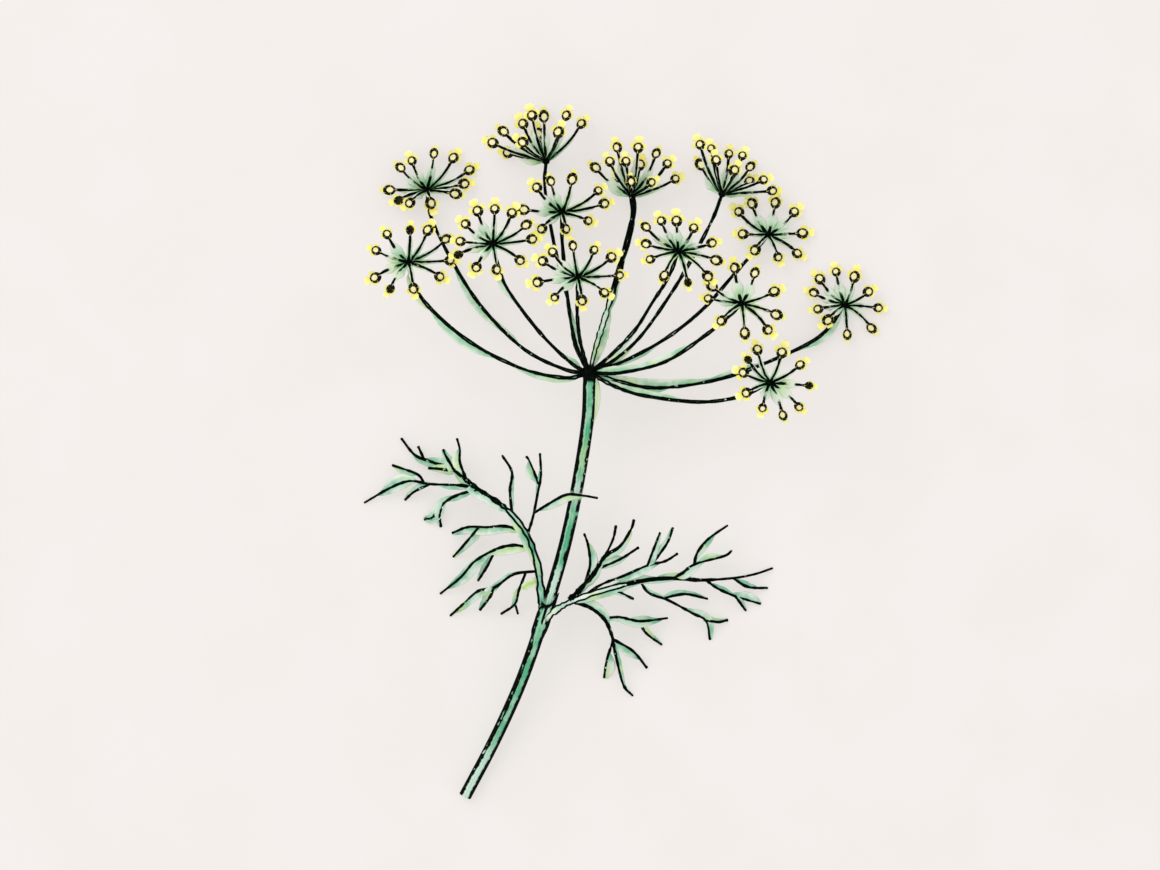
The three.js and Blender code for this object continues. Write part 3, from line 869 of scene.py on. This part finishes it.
def floret_kind(name, size, curl, thick_side, oval, cushion_part=CUSHION, whole=1.0):
    """One kind of floret, facing +Z with its outer side at +X. Its petals have a size and a curl,
    its rim is thickest towards one side, and it is longer outwards than across by the oval."""
    body = bmesh.new()
    body.faces.layers.int.new("part")
    loft(body, CUP, [ring_of(*ring, 12) for ring in CUP_OUTLINE])
    loft(body, CUP, rim_rings(thick_side), closed=True)
    loft(body, cushion_part, [ring_of(*ring, 12, CUSHION_LOBES) for ring in CUSHION_OUTLINE])
    for k in range(PETALS):
        t = 2 * math.pi * (k / PETALS)
        outer = (0.5 + 0.5 * math.cos(t)) ** 1.6
        length = size * between(0.22, 1.1, outer)
        sharpen(loft(body, PETAL, petal_rings(t, length, size * between(0.5, 1.3, outer), curl)))
    for k in range(PETALS):
        t = 2 * math.pi * (k + 0.5) / PETALS
        out = Vector((math.cos(t), math.sin(t), 0))
        filament = [out * radius + Vector((0, 0, height)) for radius, height in FILAMENT]
        loft(body, CUSHION, [[p + corner for corner in FILAMENT_CORNERS] for p in filament])
        loft(body, ANTHER, [[filament[-1] + corner for corner in ring_of(*ring, 4)]
                            for ring in ANTHER_OUTLINE])
    spread = body.verts.layers.float.new("spread")
    for vert in body.verts:
        vert[spread] = vert.co.xy.length - CUP_RADIUS
    bmesh.ops.scale(body, vec=Vector((oval, 1, 1)) * whole * MM, verts=body.verts)
    return settled(name, body)


def speckled_skin(name, first, second, size, **constants):
    """Two colours in soft speckles with a fine relief."""
    material, bare = new_skin(name)
    place = object_place(bare)
    speckle = blotches(place, size, 3.0).above(0.38, 0.64)
    cover(speckle.blend(paint(first), paint(second)), speckle, 0.05 * MM, **constants)
    return material


def petal_skin():
    """Lemon yellow by the cup, paling to cream at the petal's edge. A faint glow of its own is
    painted light, which brightens the petals where their curl and their neighbours shade them."""
    material, bare = new_skin("petal")
    place = object_place(bare)
    cloud = blotches(place, 2.2 * MM)
    lemon = cloud.above(0.4, 0.6).blend(paint("FAF48E"), paint("F7EC6C"))
    fading = (fact(bare, "spread") + cloud * 1.2 - 0.6).above(0.6, 2.0)
    vein = blotches(place, 0.4 * MM)
    # The faint emission is painted light: a glow that lifts the petals' yellow where they shade one
    # another.
    cover(fading.blend(lemon, paint("FFFABE")), vein, 0.03 * MM, Roughness=0.8,
          Specular_IOR_Level=0.08, Emission_Color=paint("FFF480"), Emission_Strength=0.06)
    return material


FLORET_SKINS = [  # in the order of the floret's parts
    speckled_skin("floret cup", "060903", "24290C", 1.2 * MM, Roughness=0.7,
                  Specular_IOR_Level=0.05),
    speckled_skin("floret cushion", "F8F1C4", "F3E698", 0.6 * MM, Roughness=0.6),
    petal_skin(),
    speckled_skin("anther", "F6DC3A", "FFF07A", 0.3 * MM, Roughness=0.8, Specular_IOR_Level=0.1),
]


def floret_tree(kinds):
    """Stands a floret of a chance kind and size on each point, facing its own way."""
    start = growing_tree("florets", {
        "Seed": ("Int", 0),
        "Smallest": ("Float", 0.88),
        "Largest": ("Float", 1.1),
    })
    objects = [start.node("GeometryNodeObjectInfo", {}, {"Object": kind, "As Instance": True},
                          "Geometry") for kind in kinds]
    choice = start.node("GeometryNodeJoinGeometry", {}, {"Geometry": objects})
    index = start.node("FunctionNodeRandomValue", {"data_type": "INT"}, {
        "Min": 0, "Max": len(kinds) - 1, "Seed": start.out("Seed")})
    size = start.node("FunctionNodeRandomValue", {"data_type": "FLOAT"}, {
        "Min": start.out("Smallest"), "Max": start.out("Largest"), "Seed": start.out("Seed")})
    facing = start.node(
        "FunctionNodeAxesToRotation", {"primary_axis": "Z", "secondary_axis": "X"}, {
            "Primary Axis": kept(start, "facing", "FLOAT_VECTOR"),
            "Secondary Axis": kept(start, "outward", "FLOAT_VECTOR")}, "Rotation")
    florets = start.node("GeometryNodeInstanceOnPoints", {}, {
        "Points": start, "Instance": choice, "Pick Instance": True, "Instance Index": index,
        "Rotation": facing, "Scale": size})
    florets = florets.node("GeometryNodeRealizeInstances", {}, {"Geometry": florets})
    florets = florets.node("GeometryNodeSetShadeSmooth", {}, {"Geometry": florets})
    for part, skin in enumerate(FLORET_SKINS):
        same = florets.node("FunctionNodeCompare", {"data_type": "INT", "operation": "EQUAL"}, {
            "A": kept(florets, "part", "INT"), "B": part})
        florets = florets.node("GeometryNodeSetMaterial", {}, {
            "Geometry": florets, "Selection": same, "Material": skin})
    florets.node("NodeGroupOutput", {}, {"Geometry": florets}, None)
    return start


def floret_points(ray):
    """The florets' places, each with the way that it faces and the way out from its knot."""
    knot = knot_of(ray)
    offsets = floret_offsets(ray)
    mesh = bpy.data.meshes.new("florets")
    mesh.from_pydata([knot + offset for offset in offsets], [], [])
    ways = {"facing": floret_facing, "outward": Vector.normalized}
    facts = {name: [part for offset in offsets for part in way(offset)]
             for name, way in ways.items()}
    return noted(mesh, facts, "FLOAT_VECTOR")


floret_kinds = [
    floret_kind("floret_open", size=1.4, curl=0.55, thick_side=2.6, oval=1.22),
    floret_kind("floret_wide", size=1.7, curl=0.45, thick_side=3.6, oval=1.14),
    floret_kind("floret_young", size=1.0, curl=0.8, thick_side=0.4, oval=1.36),
    floret_kind("floret_lean", size=1.5, curl=0.5, thick_side=4.6, oval=1.3),
    floret_kind("floret_dark", size=1.5, curl=0.6, thick_side=1.6, oval=1.3, cushion_part=CUP,
                whole=0.84),
]
floret_growth = floret_tree(2 * floret_kinds[:-1] + floret_kinds)  # so that few are dark
for number, ray in enumerate(RAYS, 1):
    florets = grow(f"florets_{number}", floret_points(ray), floret_growth, {"Seed": number})
    stands_for(f"umbellet_{number}", florets)
for kind in floret_kinds:
    bpy.data.objects.remove(kind)


# ---- Leaf sheaths ----
# Each leaf stalk widens at its base into a thin sheath that wraps round the stem. Its mouth is cut
# slantwise, highest on the side where the leaf leaves, and has a dark edge.

SHEATH_WALL = 0.14 * MM
SHEATH_ROOM = 0.08 * MM
SHEATH_STEPS = 10
SHEATH_SIDES = 32
SHEATH_LOOK = 0.4  # the share of the stem whose looks a sheath takes
LAPPED_LOOK = 0.51  # the same for its paler upper half beyond the seam
LAP_START = 0.45
SEAM_WIDTH = 0.12  # as a turn


def stem_place(square):
    """The number of the stem point that is nearest to a plan square."""
    spot = on_plan(*square).xy
    return min(range(len(stem_line)), key=lambda i: (stem_line[i].xy - spot).length)


def on_stem(step):
    """A place between two stem points, with the ways right and up from there."""
    first = min(int(step), len(stem_line) - 2)
    here, there = stem_line[first], stem_line[first + 1]
    rise = (there - here).normalized()
    right = Vector((rise.y, -rise.x, 0)).normalized()
    return here.lerp(there, step - first), right, right.cross(rise)


def make_sheath(name, node, foot, low, high, high_turn, swell, room, lined, seam=None):
    """A sleeve from its foot to a mouth that is lowest at one stem square and highest at another,
    on the side given by a turn from the right. A lined one has dark sides and a dark mouth all
    round, another only a dark mouth on its high side. Its upper half may have a dark seam, where
    one edge of the sleeve laps over the other."""
    foot, low, high = stem_place(foot), stem_place(low), stem_place(high)
    rings, facts = [], {"side": [], "top": [], "along": [], "rim": [], "edge": [], "girth": []}
    outer = [(i / SHEATH_STEPS, 0.0) for i in range(SHEATH_STEPS + 1)]
    inner = [(share, SHEATH_WALL) for share, _ in reversed(outer)]
    for share, inset in outer + inner:
        ring = []
        for k in range(SHEATH_SIDES):
            turn = 2 * math.pi * k / SHEATH_SIDES
            lean = math.cos(turn - high_turn)
            mouth = between(low, high, 0.5 + 0.1 * lean + 0.4 * lean ** 5)
            place, right, up = on_stem(between(foot, mouth, share))
            lip = 0.5 + 0.5 * lean
            grip = min(1.0, 4 * share) * room - (1 - min(1.0, 4 * share)) * SHEATH_WALL
            radius = STEM_GIRTH + grip + SHEATH_WALL - inset + swell * lip * share ** 3
            radius *= 1 + 0.02 * math.cos(9 * turn) * (1 - share)
            ring.append(place + (right * math.cos(turn) + up * math.sin(turn)) * radius)
            facts["side"].append(math.cos(turn))
            facts["top"].append(math.sin(turn))
            lapped = seam is not None and share > LAP_START
            right_half = math.cos(turn) > 0.01
            facts["along"].append(LAPPED_LOOK if lapped and right_half else SHEATH_LOOK)
            rim = share if lined else share * min(1.0, 1.6 * lip)
            if lapped:
                rim = max(rim, 2 - abs(turn - seam) / SEAM_WIDTH)
            facts["rim"].append(rim)
            facts["edge"].append(1 - abs(math.cos(turn)) if lined else 1.0)
            facts["girth"].append(MM)
        rings.append(ring)
    body = bmesh.new()
    body.faces.layers.int.new("part")
    loft(body, 0, rings, closed=True)
    for face in body.faces:
        face.smooth = True
    sheath = settled(name, body)
    noted(sheath.data, facts).materials.append(stem.data.materials[0])
    stands_for(node, sheath)


make_sheath("sheath_left", "leaf_left_stalk", foot=(538, 634), low=(546, 608), high=(550, 595),
            high_turn=math.pi, swell=0.3 * MM, room=SHEATH_ROOM, lined=False)
make_sheath("sheath_right", "leaf_right_stalk", foot=(535, 640), low=(542, 622), high=(552, 594),
            high_turn=0.25, swell=0.0, room=2 * SHEATH_ROOM + SHEATH_WALL, lined=True,
            seam=math.pi / 2)


# ---- Leaves ----
# Two feathery leaves leave the node on either side. A leaf is a tapering stalk with leaflets that
# fork into threads. Each thread is a dark rib with a pale green blade along its sides.

TIP = 0.3  # the height of a tip that lies on the table, in millimetres


def sprig(*route, tip=TIP, **rest):
    """A thread over the plan squares of its route, up or down to the height of its tip. "left" and
    "right" are the widths of its blade, as patches or as one width, "stout" is its girth against
    its parent's, and "forks" are the threads that leave it. "bend" is how late it comes down.
    "from_leaflet" is the leaflet that it leaves in place of the stalk, counted from 0."""
    return dict(route=route, tip=tip, **rest)


# A leaf's stalk is plan squares with their heights in millimetres, and its girth what it tapers
# between.
LEAVES = {
    "left": dict(
        stalk=[(544, 617, 9.6), (542.5, 606, 10), (541, 592, 10.8), (537.5, 564, 12.3),
               (528, 536, 13), (512, 514, 12.5), (495, 500, 11), (474, 486, 8.5), (455, 471, 5.5),
               (432, 462, 3), (415, 455, 1.6), (401, 438, TIP)],
        girth=(1.2, 0.3, 0.7), left=[(0.22, 0.44, 1.3), (0.45, 0.74, 1.6), (0.76, 0.92, 1.1)],
        right=[(0.74, 0.86, 1.3)],
        forks=[
            sprig((455, 471), (440, 469), (428, 468), tip=3.5, left=1.0, right=1.4),
            sprig((455, 471), (446, 456), (443, 449), tip=5, left=1.3, right=1.4),
            sprig((467, 481), (460, 462), (460, 450), (457, 438), tip=6.5,
                  left=[(0.2, 0.75, 1.6)]),
            sprig((424, 459), (418, 446), tip=1.5),
        ],
        leaflets=[
            sprig((474, 487), (457, 485), (430, 484), (410, 481), (390, 488), (364, 503),
                  left=[(0.05, 0.3, 0.9), (0.5, 0.85, 1.3)], right=[(0.5, 0.8, 1.9)], forks=[
                sprig((424, 483), (417, 474), (392, 465), tip=1.5, left=[(0.3, 0.9, 1.2)]),
                sprig((430, 484), (414, 492), (405, 500), right=1.3)]),
            sprig((479, 490), (460, 494), (444, 503), (433, 517), (424, 519),
                  left=[(0.1, 0.5, 0.9), (0.55, 1, 1.4)], right=[(0.4, 1, 1.3)], forks=[
                sprig((444, 503), (440, 515), (441, 527), right=1.6)]),
            sprig((512, 512), (510, 490), (512, 472), (502, 455), tip=9, right=[(0.05, 0.6, 0.6)]),
            sprig((527, 536), (533, 517), (538, 492), (541, 475), (540, 453), tip=16,
                  left=[(0.5, 0.8, 0.5)], forks=[
                sprig((539, 484), (530, 462), (526, 456), tip=15, left=[(0.1, 0.8, 1.7)])]),
            sprig((534, 513), (545, 506), (565, 495), (580, 495), (598, 498), tip=20, bend=0.6,
                  from_leaflet=3, right=[(0.12, 0.8, 1.5)]),
            sprig((524, 531), (505, 526), (487, 527), (468, 527), (452, 533), tip=1.5,
                  left=[(0.02, 1.02, 1.8)], forks=[
                sprig((479, 527), (463, 546), (453, 557), left=1.7)]),
            sprig((533, 548), (513, 545), (494, 550), (474, 562), (461, 577), (440, 594),
                  left=[(0.02, 0.4, 1.9), (0.38, 0.9, 1.8)], right=[(0.5, 0.9, 0.6)], forks=[
                sprig((495, 550), (488, 565), (478, 581), right=1.7)]),
            sprig((537, 571), (514, 574), (495, 587), (478, 591), (462, 605), (450, 616),
                  left=[(0.4, 0.95, 1.4)], right=[(0.2, 0.5, 0.6)], forks=[
                sprig((494, 588), (490, 597), (480, 610), tip=1.5, right=1.9),
                sprig((526, 572), (519, 590), (515, 604), (501, 614),
                      right=[(0.3, 0.7, 0.9)], forks=[
                    sprig((515, 603), (518, 614), tip=1.5)])]),
        ],
    ),
    "right": dict(
        stalk=[(541.5, 629, 9.5), (547, 618.5, 10.9), (555, 610.5, 11.2), (565, 604.3, 11.4),
               (577, 599, 11.7), (600, 591, 12), (640, 581, 11), (672, 578, 9), (700, 580, 6.8),
               (733, 578, 4), (755, 574, 2), (773, 568, TIP)],
        girth=(1.0, 0.28, 0.75), left=[(0.36, 0.5, 1.2), (0.52, 0.66, 0.9)],
        right=[(0.18, 0.44, 1.1), (0.44, 0.6, 0.6)],
        forks=[
            sprig((733, 578), (748, 587), (768, 588), left=[(0.1, 0.7, 0.9)]),
        ],
        leaflets=[
            sprig((706, 580), (717, 588), (735, 596), (761, 604),
                  left=[(0.1, 0.5, 0.7), (0.5, 1, 1.7)], forks=[
                sprig((735, 596), (741, 604), (746, 611), left=1.0)]),
            sprig((672, 578), (682, 573), (695, 564), (724, 556), (732, 550), tip=5,
                  left=[(0.45, 0.8, 1.4)], right=[(0.05, 0.5, 1.6)], forks=[
                sprig((694, 565), (697, 553), (708, 539), (728, 525), tip=7,
                      right=[(0.1, 0.7, 1.1)])]),
            sprig((576, 601), (600, 585), (625, 575), (648, 565), (665, 561), (678, 553), tip=13,
                  right=[(0.4, 0.8, 1.5)], forks=[
                sprig((647, 566), (655, 545), (660, 532), tip=15, right=1.4),
                sprig((652, 564), (667, 543), (673, 527), tip=14, left=1.3)]),
            sprig((568, 604), (583, 586), (594, 573), (605, 556), (620, 546), (631, 529),
                  (634, 519), tip=14, stout=1.9, right=[(0.15, 0.5, 0.9), (0.5, 0.9, 1.0)], forks=[
                sprig((570, 600), (576, 594), (584, 584), (591, 575), tip=12.9, stout=3.0),
                sprig((584, 585), (590, 565), (588, 545), (584, 533), tip=13,
                      right=[(0.02, 0.8, 1.7)]),
                sprig((605, 556), (613, 539), (616, 525), tip=15),
                sprig((597, 569), (620, 559), (639, 547), tip=11, left=[(0.05, 0.6, 1.3)],
                      right=[(0.1, 0.7, 0.7)])]),
            sprig((603, 590), (617, 591), (634, 599), tip=11.8, right=0.8),
            sprig((640, 581), (649, 593), (668, 600), (692, 613), (706, 621), (710, 640),
                  left=[(0.05, 0.3, 0.6), (0.55, 1, 1.4)], forks=[
                sprig((663, 598), (685, 594), (708, 599), tip=2, left=1.0),
                sprig((704, 620), (718, 622), (728, 620), left=1.0)]),
            sprig((573, 601), (591, 608), (605, 620), (612, 636), (615, 652), (623, 684),
                  (633, 696), stout=1.4, left=[(0.02, 0.35, 1.7), (0.5, 0.9, 0.7)], forks=[
                sprig((603, 618), (620, 617), (640, 621), (668, 618), tip=1.5,
                      left=[(0.4, 0.8, 1.0)], right=[(0.05, 0.9, 1.3)], forks=[
                    sprig((639, 621), (646, 633), (662, 645), left=1.2)]),
                sprig((613, 641), (607, 659), (604, 678), left=[(0.3, 1.05, 2.2)]),
                sprig((613, 639), (633, 651), (647, 668), right=[(0.05, 0.7, 1.7)])]),
        ],
    ),
}
LEAFLET_BEND = 1.3
THREAD_GIRTH = 0.37
THREAD_TIP = 0.31
FORK_THINNING = 0.94


def tapering(start, end, delay=1.0):
    """A girth in millimetres that runs from start to end and closes in a blunt tip."""
    return lambda share: MM * between(start, end, share ** delay) * (0.4 if share == 1 else 1)


def blunt(line):
    """The line with one more point close before its end."""
    back = (line[-2] - line[-1]).normalized() * 0.15 * MM
    return [*line[:-1], line[-1] + back, line[-1]]


def blade(width):
    """A blade in patches, or one that opens near the thread's foot and narrows to its tip."""
    if isinstance(width, list):
        return wings(*width)
    return lambda share: width * MM * min(1.0, 0.2 + 6 * share) * (1 - share) ** 0.7


def sprout_line(parent, sprout):
    root = on_plan(*sprout["route"][0]).xy
    start = min(parent, key=lambda p: (p.xy - root).length).z
    bend = sprout.get("bend", LEAFLET_BEND)
    return climbing(
        sprout["route"], lambda share, length: between(start, sprout["tip"] * MM, share ** bend))


def threads(parent, sprout, girth):
    """The strands of a leaflet: its own thread, then those of its forks."""
    line = sprout_line(parent, sprout)
    margins = [blade(sprout.get(hand, 0)) for hand in ("left", "right")]
    start = girth * sprout.get("stout", 1)
    strands = [(blunt(line), tapering(start, THREAD_TIP), *margins)]
    for fork in sprout.get("forks", []):
        strands += threads(line, fork, girth * FORK_THINNING)
    return strands


BLADE_TINTS = ("B6D8C0", "7AB896", "BED88E")
leaf_skin = dark_ribbed_skin("leaf skin", 2.0, BLADE_TINTS, ("DDF0E2", "7FC4A2", "C6E2A0"))
STALK_SKINS = {
    "left": dark_ribbed_skin("left stalk skin", 0.6, BLADE_TINTS, ("A8D3BA", "4E9C7A", "A2CDA2"),
                             dark_from=0.42),
    "right": dark_ribbed_skin("right stalk skin", 0.5, BLADE_TINTS, ("E6F1EA", "B4D9C4", "D3E6C0"),
                              dark_foot=0.035, dark_from=0.33),
}


def make_blade(name, node, strands, skin):
    piece = grow(name, routed(name, strands), stalk_growth, {
        "Sides": 12, "Unevenness": 1.0, "Skin": skin})
    stands_for(node, piece)


for hand, leaf in LEAVES.items():
    stalk = smooth([on_plan(x, y, height * MM) for x, y, height in leaf["stalk"]])
    margins = blade(leaf["left"]), blade(leaf["right"])
    strands = [(blunt(stalk), tapering(*leaf["girth"]), *margins)]
    for fork in leaf["forks"]:
        strands += threads(stalk, fork, THREAD_GIRTH)
    make_blade(f"stalk_{hand}", f"leaf_{hand}_stalk", strands, STALK_SKINS[hand])
    for number, leaflet in enumerate(leaf["leaflets"], 1):
        parent = stalk
        if "from_leaflet" in leaflet:
            parent = sprout_line(stalk, leaf["leaflets"][leaflet["from_leaflet"]])
        make_blade(f"leaflet_{hand}_{number}", f"leaf_{hand}_leaflet_{number}",
                   threads(parent, leaflet, THREAD_GIRTH), leaf_skin)

# A young leaf, still folded and yellowish, comes out of the left stalk above the node. It has no
# dark rib yet.
YOUNG_LEAF = [(538.5, 581, 10.9), (532, 583, 11), (527, 585, 10.8), (522, 588.5, 10.4)]
YOUNG_TINTS = ("BFDB90", "ABCF76", "CBDF9A"), ("E6EFCC", "D9E7B4", "E6EFCC")


def young_girth(share):
    return 0.06 * MM


young_line = smooth([on_plan(x, y, height * MM) for x, y, height in YOUNG_LEAF])
young_blade = wings((-0.15, 0.6, 1.2), (0.5, 1.03, 0.9))
make_blade("young_leaf", "leaf_left_stalk", [(young_line, young_girth, young_blade, young_blade)],
           dark_ribbed_skin("young leaf skin", -1.1, *YOUNG_TINTS))


# ---- Table, light and camera ----
# The stem lies on a plain off-white table in soft even light, a little stronger from the upper
# left, under a camera that looks straight down from far enough away to see no perspective.

TABLE_SIZE = 6.0
VIEW_CENTRE = on_plan(580, 435)
VIEW_WIDTH = 1160 * GRID
VIEW_DISTANCE = 8.0
SENSOR_WIDTH = 36
SKY_STRENGTH = 0.92
LAMP_PLACE = (-0.9, 0.9, 1.6)
LAMP_SIZE = 1.2
LAMP_WATTS = 9

corner = TABLE_SIZE / 2
table_mesh = bpy.data.meshes.new("table")
table_mesh.from_pydata(
    [(-corner, -corner, 0), (corner, -corner, 0), (corner, corner, 0), (-corner, corner, 0)],
    [], [(0, 1, 2, 3)])
table = placed("table", table_mesh)
table_mesh.materials.append(speckled_skin(
    "table top", "9E9A97", "A19D9B", 30 * MM, Roughness=0.95, Specular_IOR_Level=0.0,
    Emission_Color=paint("F3EEEB"), Emission_Strength=0.6))

world = bpy.data.worlds.new("soft light")
world.use_nodes = True
bpy.context.scene.world = world
sky = Wire(world.node_tree).node("ShaderNodeBackground", {}, {
    "Color": paint("FFFFFF"), "Strength": SKY_STRENGTH})
world.node_tree.links.new(sky.socket, world.node_tree.nodes["World Output"].inputs["Surface"])

lamp_data = bpy.data.lights.new("lamp", "AREA")
lamp_data.size = LAMP_SIZE
lamp_data.energy = LAMP_WATTS
lamp = placed("lamp", lamp_data)
lamp.location = LAMP_PLACE
lamp.rotation_euler = (-lamp.location).to_track_quat("-Z", "Y").to_euler()

camera_data = bpy.data.cameras.new("camera")
camera_data.sensor_width = SENSOR_WIDTH
camera_data.lens = SENSOR_WIDTH * VIEW_DISTANCE / VIEW_WIDTH
camera_data.clip_end = 20
camera = placed("camera", camera_data)
camera.location = VIEW_CENTRE + Vector((0, 0, VIEW_DISTANCE))
bpy.context.scene.camera = camera
bpy.context.scene.view_settings.view_transform = "Standard"
